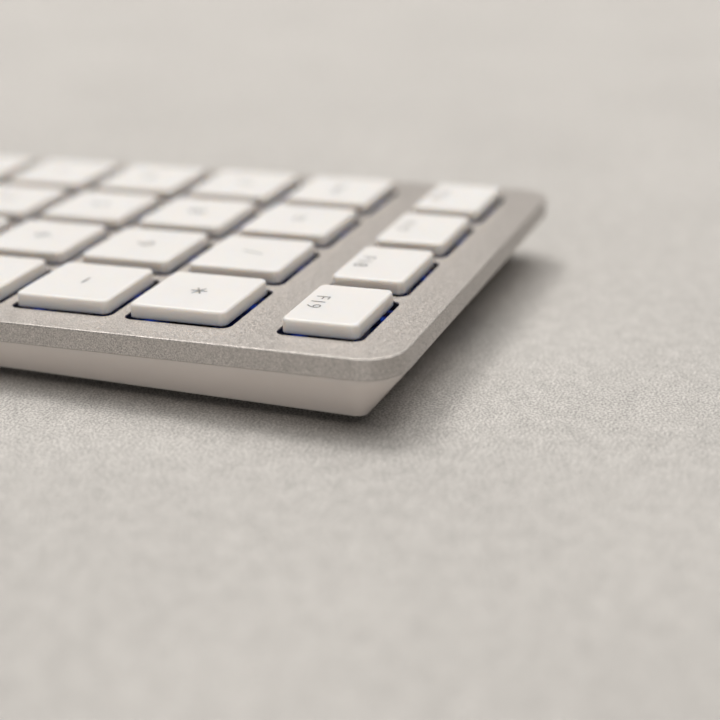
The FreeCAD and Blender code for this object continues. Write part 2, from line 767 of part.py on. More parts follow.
def membrane_tail():
    """Strip that leaves the lower foil, drops through the plate and lies on the board."""
    tail = new_body("tail_master")
    half = "(dims.foil_thickness / 2)"
    upper = f"({FOIL_BOTTOM} + dims.foil_thickness)"
    lower = "(dims.board_top + dims.foil_thickness)"
    foot = f"(dims.tail_bend_y + {TAIL_SLANT})"
    profile = sketch_on(tail, "YZ_Plane", "profile", lift="dims.tail_x")
    polygon(profile, [
        ("dims.tail_root_y", upper), ("dims.tail_bend_y", upper), (f"{foot} + {half}", lower),
        ("dims.tail_end_y", lower), ("dims.tail_end_y", "dims.board_top"),
        (f"{foot} - {half}", "dims.board_top"), (f"dims.tail_bend_y - 2 * {half}", FOIL_BOTTOM),
        ("dims.tail_root_y", FOIL_BOTTOM),
    ])
    pad(tail, profile, "dims.tail_width", "tail", midplane=True)
    return tail


def tail_window(low, high, front, rear):
    """Opening that the tail drops through, from front to rear of it."""
    width = value("dims.tail_width") + TAIL_GAP
    return centred_box(width, rear - front, low, high, x=value("dims.tail_x"), y=(front + rear) / 2)


def membranes():
    """Top foil, spacer with a hole at each key, and bottom foil with its tail."""
    openings = compound_feature("foil_openings", foil_openings())
    top = foil("membrane_top_blank", "dims.membrane_top_face")
    hand_over(cut("membrane_top_cut", top, openings), "membrane_top")

    top_face = value("dims.membrane_top_face")
    contact = Part.makeCylinder(CONTACT_RADIUS, 4, vector(0, 0, top_face - 2))
    contact_holes = compound_feature("spacer_holes", foil_openings() + copies(contact, SITES))
    spacer = foil("membrane_spacer_blank", "dims.membrane_top_face - dims.foil_thickness")
    hand_over(cut("membrane_spacer_cut", spacer, contact_holes), "membrane_spacer")

    # The window starts at the tail's root, so that the tail joins the foil along that edge only.
    root = value("dims.tail_root_y")
    window = tail_window(top_face - 3, top_face + 1, root, root + WINDOW_DEPTH)
    lower_openings = compound_feature("bottom_openings", foil_openings() + [window])
    bottom = foil("membrane_bottom_blank", "dims.membrane_top_face - 2 * dims.foil_thickness")
    pierced = cut("membrane_bottom_cut", bottom, lower_openings)
    hand_over(fuse("membrane_bottom_fused", pierced, membrane_tail()), "membrane_bottom")


PLATE_STAKE_GAP = 0.1
PLATE_SCREW_GAP = 0.3


def support_plate():
    """Steel sheet with hooks bent up through windows, eyes for the stabilisers, and holes."""
    blank = new_body("plate_blank")
    outline = sketch_on(blank, "XY_Plane", "outline", lift=FOIL_BOTTOM)
    rounded_rectangle(outline, SHEET_WIDTH, SHEET_DEPTH, SHEET_CORNER)
    pad(blank, outline, "dims.plate_thickness", "sheet_metal", down=True)

    low, high = value(PLATE_BOTTOM) - 1, value(FOIL_BOTTOM) + 1
    window_length = value("dims.bar_radius") + 2 * SLOT_ENDS
    window_x = window_length / 2 - value("dims.bar_radius") - HOOK_GAP
    window = centred_box(window_length, value("dims.hook_width"), -2, 0.5, x=window_x)
    openings = [bay_notch(low, high)]
    for site in SITES:
        openings += [site.put(piece) for piece in around_bars(window)]
    openings += cylinders(stake_points(), value("dims.stake_radius") + PLATE_STAKE_GAP, low, high)
    openings += cylinders(screw_points(), value("dims.screw_radius") + PLATE_SCREW_GAP, low, high)
    bend = value("dims.tail_bend_y")
    openings.append(tail_window(low, high, bend - 0.85, bend + 1.55))
    pierced = cut("plate_pierced", blank, compound_feature("plate_openings", openings))

    hook = bar_hook()
    doc.recompute()
    formed = []
    for site in SITES:
        formed += [site.put(piece) for piece in around_bars(hook.Shape)]
    eye = stabiliser_eye()
    for site in LONG_SITES:
        formed += [site.put(piece) for piece in at_eyes(eye)]
    hooks = compound_feature("plate_hooks", formed)
    hand_over(fuse("support_plate_fused", pierced, hooks), "support_plate")


# ---------------------------------------------------------------- top cover

WELL = "(dims.cap_size + 2 * dims.well_gap)"
FUNCTION_WELL = "(dims.function_cap_depth + 2 * dims.well_gap)"
LONG_WELL = "(dims.cap_size + dims.key_pitch + 2 * dims.well_gap)"
THROUGH = "2 * dims.cover_roof + 1"


def cover_wells(cover):
    """One opening per key: four in each row, with the long ones joined over two places."""
    rows = [("function_row", "dims.function_row_y", FUNCTION_WELL, 4)]
    rows += [(f"row_{index}", ROWS[index], WELL, 4 if index < 3 else 3) for index in range(4)]
    for name, row_y, depth, count in rows:
        outline = sketch_on(cover, "XY_Plane", name, x=f"dims.key_pitch * {COLUMNS[0]}", y=row_y)
        rounded_rectangle(outline, WELL, depth, "dims.well_corner")
        first = pocket(cover, outline, THROUGH, name + "_well", midplane=True)
        pattern = cover.newObject("PartDesign::LinearPattern", name + "_wells")
        pattern.Originals = [first]
        pattern.Direction = (outline, ["H_Axis"])
        pattern.setExpression("Length", f"dims.key_pitch * {count - 1}")
        pattern.Occurrences = count
        cover.Tip = pattern
        doc.recompute()
    enter_y = "dims.first_row_y - dims.key_pitch * 3.5"
    for name, x, y, width, depth in (
        ("zero_well", "-dims.key_pitch", ROWS[4], LONG_WELL, WELL),
        ("decimal_well", f"dims.key_pitch * {COLUMNS[2]}", ROWS[4], WELL, WELL),
        ("enter_well", f"dims.key_pitch * {COLUMNS[3]}", enter_y, WELL, LONG_WELL),
    ):
        outline = sketch_on(cover, "XY_Plane", name, x=x, y=y)
        rounded_rectangle(outline, width, depth, "dims.well_corner")
        pocket(cover, outline, THROUGH, name + "_cut", midplane=True)


POST_ROOT = 0.2
STAKE_HEAD_MARGIN = 0.5
STAKE_HEAD_HEIGHT = 0.5
THREAD_END = -0.7


def top_cover():
    """Shallow tray turned over: roof, skirt, wells, screw bosses and stakes."""
    cover = new_body("cover_shell")
    outline = sketch_on(cover, "XY_Plane", "outline")
    rounded_rectangle(outline, "dims.cover_width", "dims.cover_depth", "dims.cover_corner")
    pad(cover, outline, "dims.cover_skirt", "slab", down=True)
    dress_top_edges(cover, "PartDesign::Fillet", "Radius", "0", "dims.cover_edge")
    inside = sketch_on(cover, "XY_Plane", "inside", lift="-dims.cover_skirt")
    rounded_rectangle(inside, "(dims.cover_width - 2 * dims.cover_wall)",
                      "(dims.cover_depth - 2 * dims.cover_wall)", "(dims.cover_corner - dims.cover_wall)")
    pocket(cover, inside, "dims.cover_skirt - dims.cover_roof", "tray", up=True)
    cover_wells(cover)

    rooted = POST_ROOT - value("dims.cover_roof")
    seat, head_top = value(FOIL_BOTTOM), value(PLATE_BOTTOM)
    stake, head = value("dims.stake_radius"), value("dims.stake_radius") + STAKE_HEAD_MARGIN
    bosses = cylinders(screw_points(), value("dims.boss_radius"), seat, rooted)
    stakes = cylinders(stake_points(), stake, head_top - 0.1, rooted)
    heads = cylinders(stake_points(), head, head_top - STAKE_HEAD_HEIGHT, head_top)
    headed = [post.fuse(button) for post, button in zip(stakes, heads)]
    posts = compound_feature("cover_posts", bosses + headed)
    whole = fuse("cover_with_posts", cover, posts)
    threads = cylinders(screw_points(), value("dims.screw_radius"), seat - 1, THREAD_END)
    hand_over(cut("top_cover_drilled", whole, compound_feature("cover_threads", threads)), "top_cover")


# ---------------------------------------------------------------- base shell

FAR = "80"


def tapered_solid(name, inset, bottom):
    """Solid that narrows downwards from the cover's outline, cut level with the desk."""
    body = new_body(name)
    width = f"(dims.cover_width - 2 * ({inset}))"
    depth = f"(dims.cover_depth - 2 * ({inset}))"
    upper = sketch_on(body, "XY_Plane", "upper_outline", lift="-dims.cover_skirt")
    rounded_rectangle(upper, width, depth, f"(dims.cover_corner - ({inset}) * 0.6)")
    lower = sketch_on(body, "XY_Plane", "lower_outline", lift="-dims.cover_skirt - dims.loft_depth")
    lower_width = f"({width} - 2 * dims.base_side_slope * dims.loft_depth)"
    lower_depth = f"({depth} - 2 * dims.base_end_slope * dims.loft_depth)"
    rounded_rectangle(lower, lower_width, lower_depth, "dims.base_foot_corner")
    loft = body.newObject("PartDesign::AdditiveLoft", "taper")
    loft.Profile = upper
    loft.Sections = [lower]
    loft.Ruled = True
    doc.recompute()
    slope = "tan(dims.deck_tilt * 1 deg)"
    side = sketch_on(body, "YZ_Plane", "below_desk_side")
    polygon(side, [
        (f"-{FAR}", f"{bottom} + {FAR} * {slope}"), (f"-{FAR}", "-20"),
        (FAR, "-20"), (FAR, f"{bottom} - {FAR} * {slope}"),
    ])
    pocket(body, side, f"2 * {FAR}", "level_underside", midplane=True)
    return body


def parting_groove():
    """Ring that leaves a fine shadow line between the base and the cover's skirt."""
    groove = new_body("parting_groove")
    ring = sketch_on(groove, "XY_Plane", "ring", lift="-dims.cover_skirt")
    rounded_rectangle(ring, "(dims.cover_width + 2)", "(dims.cover_depth + 2)", "(dims.cover_corner + 1)")
    inner_width = "(dims.cover_width - 2 * dims.parting_depth)"
    inner_depth = "(dims.cover_depth - 2 * dims.parting_depth)"
    rounded_rectangle(ring, inner_width, inner_depth, "(dims.cover_corner - dims.parting_depth)")
    pad(groove, ring, "dims.parting_height", "ring_pad", down=True)
    doc.recompute()
    return groove.Shape


RIB_WIDTH = 1.0
PLATE_GAP = 0.05
DEEP = -20


def base_ribs():
    """Low walls on the floor that carry the support plate between the screws."""
    high = value(PLATE_BOTTOM) - PLATE_GAP
    row_y = [value(ROWS[row]) for row in ROWS]
    column_x = value("dims.key_pitch * 1.5")
    length, middle = row_y[0] - row_y[-1], (row_y[0] + row_y[-1]) / 2
    ribs = [centred_box(2 * column_x, RIB_WIDTH, DEEP, high, y=y) for y in row_y]
    ribs += [centred_box(RIB_WIDTH, length, DEEP, high, x=side * column_x, y=middle) for side in (-1, 1)]
    return ribs


def level_plane(rise):
    """Deck height, as a function of y, of the level plane at a rise over the base's underside."""
    at_centre = value(BASE_UNDER) + rise
    slope = math.tan(math.radians(value("dims.deck_tilt")))
    return lambda y: at_centre - slope * y


def desk_aligned(shape):
    """Shape drawn in desk axes, brought into the deck frame."""
    lean = FreeCAD.Rotation(X_AXIS, value("dims.deck_tilt"))
    deck = FreeCAD.Placement(vector(0, 0, value("dims.deck_height")), lean)
    placed = shape.copy()
    placed.Placement = deck.inverse().multiply(placed.Placement)
    return placed


def foot_points():
    return [
        vector(side * value("dims.foot_x"), value(y), 0)
        for y in ("dims.foot_rear_y", "dims.foot_front_y")
        for side in (-1, 1)
    ]


FOOT_CORNER = 1.5
FOOT_GAP = 0.1
SOLE_EDGE = 0.35


def foot_block(gap):
    """Foot, or with a gap its recess: a block with round corners, from the desk up."""
    low, high = 0, value("dims.foot_height + dims.foot_recess")
    box = centred_box(value("dims.foot_length") + 2 * gap, value("dims.foot_depth") + 2 * gap, low, high)
    upright = [edge for edge in box.Edges if edge.BoundBox.ZLength > 0.5 * (high - low)]
    return box.makeFillet(FOOT_CORNER + gap, upright)


BOARD_MARGIN = 0.5
BOSS_Y = 2.3
CLAMP_END = 1.9
FAR_BOSS_X = 2.4
BOARD_THREAD = 0.75
BOARD_THREAD_DEPTH = 2.6
BOARD_BOSS_RADIUS = 1.9
TOWER_RADIUS = 3.0
TOWER_GAP = 0.02


def board_x():
    """Left and right edges of the board."""
    right = value("dims.tail_x + dims.clamp_width / 2") + BOARD_MARGIN
    return right - value("dims.board_width"), right


def board_boss_points():
    """Board screws: one each side of the membrane tail and one at the far end."""
    tail, reach = value("dims.tail_x"), value("dims.clamp_width") / 2 - CLAMP_END
    y = value("dims.board_front_y") + BOSS_Y
    left, _right = board_x()
    return [vector(x, y, 0) for x in (tail - reach, tail + reach, left + FAR_BOSS_X)]


def risers(points, radius, top, floor_at):
    """Round pillars from the base's floor up to a height."""
    return [
        Part.makeCylinder(radius, top - floor_at(point.y), point + vector(0, 0, floor_at(point.y)))
        for point in points
    ]


def base_additions():
    """What stands inside the base: screw towers, board bosses, ribs and the socket bay."""
    floor_at = level_plane(0.5 * value("dims.base_floor"))
    board_under = value("dims.board_top - dims.board_thickness")
    pieces = risers(screw_points(), TOWER_RADIUS, value(PLATE_BOTTOM) - TOWER_GAP, floor_at)
    pieces += risers(board_boss_points(), BOARD_BOSS_RADIUS, board_under, floor_at)
    width, front = bay_size()
    rim = -value("dims.cover_skirt")
    bay = Part.makeBox(width, 10, rim - DEEP, vector(-width / 2, front, DEEP))
    return shape_feature("base_additions", *pieces, *base_ribs(), bay)


def base_removals():
    """What is cut from the base: screw holes, socket bay and opening, feet and parting line."""
    seat, rim = value("dims.screw_seat"), -value("dims.cover_skirt")
    board_under = value("dims.board_top - dims.board_thickness")
    cuts = cylinders(screw_points(), value("dims.screw_radius") + 0.15, DEEP, 0)
    cuts += cylinders(screw_points(), value("dims.screw_head_radius") + 0.3, DEEP, seat)
    cuts += cylinders(board_boss_points(), BOARD_THREAD, board_under - BOARD_THREAD_DEPTH, 0)
    width, back = value("dims.recess_width"), value("dims.recess_back_y")
    cuts.append(Part.makeBox(width, 10, rim - DEEP, vector(-width / 2, back, DEEP)))
    cuts.append(socket_envelope(0.15, 20))
    cuts += [desk_aligned(foot_block(FOOT_GAP).translated(point)) for point in foot_points()]
    cuts.append(parting_groove())
    return compound_feature("base_removals", cuts)


def base_shell():
    """White tapered tray with level floor, screw towers, ribs, foot recesses and socket bay."""
    outer = tapered_solid("base_outside", "0", BASE_UNDER)
    cavity = tapered_solid("base_cavity", "dims.base_wall", f"({BASE_UNDER} + dims.base_floor)")
    doc.recompute()
    shell = cut("base_hollow", outer, cavity)
    whole = fuse("base_with_parts", shell, common("base_inner_parts", outer, base_additions()))
    hand_over(cut("base_shell_cut", whole, base_removals()), "base_shell")


# ---------------------------------------------------------------- fasteners and feet

def screw(radius, length, head_radius, head_height, edge, slots):
    """Pan-head screw: seat at z = 0, head above, shank below, slots as (turn, length) pairs."""
    shank = Part.makeCylinder(radius, length, vector(0, 0, -length))
    body = shank.fuse(Part.makeCylinder(head_radius, head_height))
    rim = [line for line in body.Edges if abs(line.BoundBox.ZMin - head_height) < 1e-4]
    body = body.makeFillet(edge, rim)
    for turn, slot_length in slots:
        slot = centred_box(slot_length, SLOT_WIDTH, head_height / 2, head_height + 0.1)
        slot.rotate(vector(), Z_AXIS, turn)
        body = body.cut(slot)
    return body


SLOT_WIDTH = 0.45
CASE_SCREW_TIP = -0.9
SMALL_HEAD_RADIUS = 1.4
SMALL_HEAD_HEIGHT = 0.7
SMALL_LENGTH = 3.4


def fasteners():
    """Six case screws from below and three board screws from above."""
    seat = value("dims.screw_seat")
    upright = screw(value("dims.screw_radius") - 0.01, CASE_SCREW_TIP - seat, value("dims.screw_head_radius"),
                    value("dims.screw_head_height"), 0.35, [(0, 2.2), (90, 2.2)])
    upright.rotate(vector(), X_AXIS, 180)
    placed = [upright.translated(point + vector(0, 0, seat)) for point in screw_points()]
    hand_over(compound_feature("case_screw_group", placed), "case_screws")

    small = screw(BOARD_THREAD - 0.01, SMALL_LENGTH, SMALL_HEAD_RADIUS, SMALL_HEAD_HEIGHT, 0.2, [(0, 1.8)])
    on_board = value("dims.board_top")
    on_clamp = on_board + value("dims.foil_thickness + dims.clamp_thickness")
    heights = zip(board_boss_points(), (on_clamp, on_clamp, on_board))
    placed = [small.translated(point + vector(0, 0, height)) for point, height in heights]
    hand_over(compound_feature("board_screw_group", placed), "board_screws")


def rubber_feet():
    """Four pads pressed into the base's recesses, level with the desk."""
    foot = foot_block(0)
    sole = [edge for edge in foot.Edges if edge.BoundBox.ZMax < 1e-4]
    foot = foot.makeFillet(SOLE_EDGE, sole)
    feet = compound_feature("foot_group", [foot.translated(point) for point in foot_points()])
    hand_over(feet, "rubber_feet", on_deck=False)


# ---------------------------------------------------------------- electronics

def stadium(width, height, length, mouth_y, centre_z):
    """Solid with round ends in the XZ plane, running from the mouth towards the front."""
    radius = height / 2
    half = width / 2 - radius
    box = Part.makeBox(2 * half, length, height, vector(-half, mouth_y - length, centre_z - radius))
    solid = box
    for side in (-1, 1):
        start = vector(side * half, mouth_y - length, centre_z)
        solid = solid.fuse(Part.makeCylinder(radius, length, start, Y_AXIS))
    return solid.removeSplitter()


def socket_envelope(clearance, extra=0.0):
    """Outside of the socket's shell, grown by a clearance and lengthened out of its mouth."""
    width = value("dims.socket_width") + 2 * clearance
    height = value("dims.socket_height") + 2 * clearance
    length = value("dims.socket_length") + extra
    mouth = value("dims.socket_mouth_y") + extra
    return stadium(width, height, length, mouth, value("dims.socket_centre_z"))


LEG_FROM_MOUTH = (1.9, 6.2)
LEG_THICKNESS_X = 0.3
LEG_DEPTH = 0.9
LEG_BELOW_BOARD = 0.3
TONGUE_WIDTH = 6.69
TONGUE_THICKNESS = 0.7
TONGUE_SETBACK = 0.6
INSERT_DEPTH = 2.2
CONTACT_PITCH = 0.5
CONTACT_SIZE = (0.26, 3.6, 0.06)


def socket_leg_points():
    """Where the socket's four legs pass through the board."""
    x = value("dims.socket_width") / 2 + LEG_THICKNESS_X / 2
    mouth = value("dims.socket_mouth_y")
    return [vector(side * x, mouth - back, 0) for side in (-1, 1) for back in LEG_FROM_MOUTH]


def socket_shell():
    """Drawn steel shell with its four legs, each joined to it by a short ear."""
    sheet_metal, centre = value("dims.socket_sheet"), value("dims.socket_centre_z")
    width = value("dims.socket_width") - 2 * sheet_metal
    height = value("dims.socket_height") - 2 * sheet_metal
    mouth = value("dims.socket_mouth_y")
    hollow = stadium(width, height, value("dims.socket_length"), mouth + sheet_metal, centre)
    shell = socket_envelope(0).cut(hollow)
    low = value("dims.board_top - dims.board_thickness") - LEG_BELOW_BOARD
    for point in socket_leg_points():
        inward = -0.12 if point.x > 0 else 0.12
        leg = centred_box(LEG_THICKNESS_X, LEG_DEPTH, low, centre, x=point.x, y=point.y)
        ear = centred_box(0.5, LEG_DEPTH, centre - 0.15, centre + 0.15, x=point.x + inward, y=point.y)
        shell = shell.fuse([leg, ear])
    return shell.removeSplitter()


def usb_socket():
    """Receptacle: shell, insert with its tongue, and a row of contacts on each side of that."""
    hand_over(shape_feature("socket_shell", socket_shell()), "usb_c_socket")

    mouth, centre = value("dims.socket_mouth_y"), value("dims.socket_centre_z")
    back = mouth - value("dims.socket_length - dims.socket_sheet")
    front = back + INSERT_DEPTH
    inside = 2 * value("dims.socket_sheet + dims.running_gap")
    width, height = value("dims.socket_width") - inside, value("dims.socket_height") - inside
    insert = stadium(width, height, INSERT_DEPTH, front, centre)
    half = TONGUE_THICKNESS / 2
    length = mouth - TONGUE_SETBACK - back
    tongue = centred_box(TONGUE_WIDTH, length, centre - half, centre + half, y=back + length / 2)
    hand_over(shape_feature("socket_insert", insert.fuse(tongue).removeSplitter()), "usb_c_tongue")

    contact_width, contact_length, thickness = CONTACT_SIZE
    contacts = []
    for index in range(12):
        x = (index - 5.5) * CONTACT_PITCH
        for low in (centre + half, centre - half - thickness):
            contacts.append(centred_box(contact_width, contact_length, low, low + thickness,
                                        x=x, y=front + contact_length / 2))
    hand_over(compound_feature("socket_contacts", contacts), "usb_c_contacts")


BOARD_HOLE = 0.9
LEG_SLOT = (0.5, 1.1)


def controller_board():
    """Board under the plate, with holes for its screws and a notch for the socket."""
    left, right = board_x()
    board = new_body("board_body")
    outline = sketch_on(board, "XY_Plane", "outline", lift="dims.board_top")
    polygon(outline, [
        (f"{left}", "dims.board_front_y"), (f"{right}", "dims.board_front_y"),
        (f"{right}", "dims.board_rear_y"), (f"{left}", "dims.board_rear_y"),
    ])
    pad(board, outline, "dims.board_thickness", "laminate", down=True)
    notch = sketch_on(board, "XY_Plane", "socket_notch", lift="dims.board_top")
    notch_front = "(dims.socket_mouth_y - dims.socket_length - 0.1)"
    notch_rear = "(dims.board_rear_y + 1)"
    side = "(dims.socket_width / 2 + 0.1)"
    polygon(notch, [
        (f"-{side}", notch_front), (side, notch_front), (side, notch_rear), (f"-{side}", notch_rear),
    ])
    pocket(board, notch, "dims.board_thickness", "notch_cut")
    holes = sketch_on(board, "XY_Plane", "holes", lift="dims.board_top")
    for point in board_boss_points():
        circle(holes, f"{point.x}", f"{point.y}", f"{BOARD_HOLE}")
    pocket(board, holes, "dims.board_thickness", "screw_holes")
    slots = [centred_box(*LEG_SLOT, DEEP, 0, x=point.x, y=point.y) for point in socket_leg_points()]
    hand_over(cut("board_cut", board, compound_feature("leg_slots", slots)), "controller_board")


CHIP_SIDE = 7.0
CHIP_HEIGHT = 0.9
CHIP_STANDOFF = 0.1
CHIP_CENTRE = (-12.5, 52.2)
LEADS_PER_SIDE = 9
LEAD_PITCH = 0.65
LEAD_WIDTH = 0.3


def controller_chip():
    """Square package with gull-wing leads on four sides."""
    top = CHIP_STANDOFF + CHIP_HEIGHT
    package = centred_box(CHIP_SIDE, CHIP_SIDE, CHIP_STANDOFF, top)
    top_edges = [edge for edge in package.Edges if edge.BoundBox.ZMin > top - 0.01]
    package = package.makeChamfer(0.2, top_edges)
    edge_x, middle = CHIP_SIDE / 2, (LEADS_PER_SIDE - 1) / 2
    leads = []
    for turn in range(4):
        for index in range(LEADS_PER_SIDE):
            y = (index - middle) * LEAD_PITCH
            toe = centred_box(0.9, LEAD_WIDTH, 0, 0.15, x=edge_x + 0.65, y=y)
            shoulder = centred_box(0.5, LEAD_WIDTH, 0, top / 2 + 0.05, x=edge_x + 0.15, y=y)
            lead = toe.fuse(shoulder)
            lead.rotate(vector(), Z_AXIS, turn * 90)
            leads.append(lead)
    chip = package.multiFuse(leads)
    chip.translate(vector(*CHIP_CENTRE, value("dims.board_top")))
    hand_over(shape_feature("chip", chip), "controller_chip")


RESISTOR = (1.6, 0.8, 0.7)
CAPACITOR = (0.8, 1.6, 0.6)
FILTER = (1.0, 1.0, 0.5)
CRYSTAL = (3.2, 2.5, 0.8)


def on_board(size, x, y):
    """Rectangular part standing on the board's upper face."""
    width, depth, height = size
    top = value("dims.board_top")
    return centred_box(width, depth, top, top + height, x=x, y=y)


def board_components():
    """Small ceramic parts in rows beside the chip and the socket, each a separate solid."""
    chip_x, chip_y = CHIP_CENTRE
    parts = [on_board(RESISTOR, chip_x - 7.9, chip_y - 0.4 + 1.5 * index) for index in range(4)]
    parts += [on_board(CAPACITOR, 10.5 + 2.6 * index, 55.0) for index in range(5)]
    parts += [on_board(FILTER, side * 6.6, 55.6) for side in (-1, 1)]
    hand_over(compound_feature("small_parts", parts), "board_components")

    can = on_board(CRYSTAL, chip_x + 9, chip_y - 3.6)
    lid = [edge for edge in can.Edges if edge.BoundBox.ZMin > can.BoundBox.ZMax - 0.01]
    hand_over(shape_feature("crystal", can.makeFillet(0.2, lid)), "crystal_can")


PAD_RING_RADIUS = 1.4


def membrane_clamp():
    """Bar that presses the tail's printed fingers on the board."""
    foil_height, board_top = value("dims.foil_thickness"), value("dims.board_top")
    low = board_top + foil_height
    high = low + value("dims.clamp_thickness")
    width, depth = value("dims.clamp_width"), value("dims.clamp_depth")
    bar = centred_box(width, depth, low, high, x=value("dims.tail_x"), y=board_boss_points()[0].y)
    ends = [edge for edge in bar.Edges if edge.BoundBox.ZLength > 0.5]
    bar = bar.makeFillet(1.2, ends)
    screws = board_boss_points()[:2]
    rings = cylinders(screws, PAD_RING_RADIUS, board_top, low)
    holes = cylinders(screws, BOARD_HOLE, board_top - 1, high + 1)
    clamp = bar.multiFuse(rings).cut(holes)
    hand_over(shape_feature("clamp_bar", clamp), "membrane_clamp")


# ---------------------------------------------------------------- build and write

def check_document():
    """Stop on any failed object or bad shape, because a recompute reports neither."""
    for feature in doc.Objects:
        if "Invalid" in feature.State or "Error" in feature.State:
            raise RuntimeError(f"{feature.Label} failed: {feature.State}")
    for solid in subparts:
        shape = solid.Shape
        if shape.isNull() or not shape.isValid() or not shape.Solids:
            raise RuntimeError(f"{solid.Label} has no valid solid")


for site in SITES:
    keycap(site)
scissors_and_domes()
for site, node in zip(LONG_SITES, ("enter_stabiliser", "zero_stabiliser")):
    stabiliser(site, node)
top_cover()
membranes()
support_plate()
base_shell()
fasteners()
rubber_feet()
controller_board()
controller_chip()
board_components()
membrane_clamp()
usb_socket()

doc.recompute()
check_document()
os.makedirs("parts", exist_ok=True)
for solid in subparts:
    solid.Shape.exportStep(f"parts/{solid.Label}.step")
print(f"{len(subparts)} sub-parts, {sum(len(solid.Shape.Solids) for solid in subparts)} solids")
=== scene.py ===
import json
import math

import bmesh
import bpy
import numpy as np
from mathutils import Matrix, Vector


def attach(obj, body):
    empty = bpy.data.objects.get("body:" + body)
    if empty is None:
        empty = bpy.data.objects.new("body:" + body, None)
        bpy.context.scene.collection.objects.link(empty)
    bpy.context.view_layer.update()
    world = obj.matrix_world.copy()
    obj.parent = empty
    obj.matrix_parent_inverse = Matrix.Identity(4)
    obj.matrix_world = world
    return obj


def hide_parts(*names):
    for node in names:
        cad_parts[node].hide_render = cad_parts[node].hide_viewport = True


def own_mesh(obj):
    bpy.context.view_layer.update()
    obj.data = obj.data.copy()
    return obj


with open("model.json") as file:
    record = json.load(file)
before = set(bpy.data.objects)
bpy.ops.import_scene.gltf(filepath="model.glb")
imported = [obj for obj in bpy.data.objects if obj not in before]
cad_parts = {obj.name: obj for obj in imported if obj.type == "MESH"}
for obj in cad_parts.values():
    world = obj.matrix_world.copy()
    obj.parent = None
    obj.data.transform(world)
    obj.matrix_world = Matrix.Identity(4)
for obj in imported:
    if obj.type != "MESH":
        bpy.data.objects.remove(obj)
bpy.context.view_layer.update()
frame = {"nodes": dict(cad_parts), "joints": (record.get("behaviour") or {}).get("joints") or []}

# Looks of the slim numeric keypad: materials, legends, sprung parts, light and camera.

MM = 0.001
NODES = frame["nodes"]
PRESS = {joint["child"]: joint for joint in frame["joints"] if joint["type"] == "slide"}
KEYS = sorted(PRESS)

# Axes of the leaning deck: a key is pressed straight into it.
DECK_UP = -Vector(PRESS[KEYS[0]]["axis"]).normalized()
DECK_RIGHT = Vector((1, 0, 0))
DECK_REAR = DECK_UP.cross(DECK_RIGHT)
DECK_AXES = Matrix((DECK_RIGHT, DECK_REAR, DECK_UP))


def mesh_points(mesh):
    """Vertices of a mesh, one row each."""
    points = np.zeros(len(mesh.vertices) * 3)
    mesh.vertices.foreach_get("co", points)
    return points.reshape(-1, 3)


def deck_box(node):
    """Lowest and highest corner of a CAD node in deck axes."""
    points = mesh_points(NODES[node].data) @ np.array(DECK_AXES).T
    return Vector(points.min(0)), Vector(points.max(0))


def from_deck(point):
    """Point in deck axes, back in the row frame."""
    return DECK_AXES.transposed() @ Vector(point)


# ---------------------------------------------------------------- material helpers

# Black for the painted shade in the cover's recesses.
RECESS_SHADE_BLACK = (0.012, 0.012, 0.012)


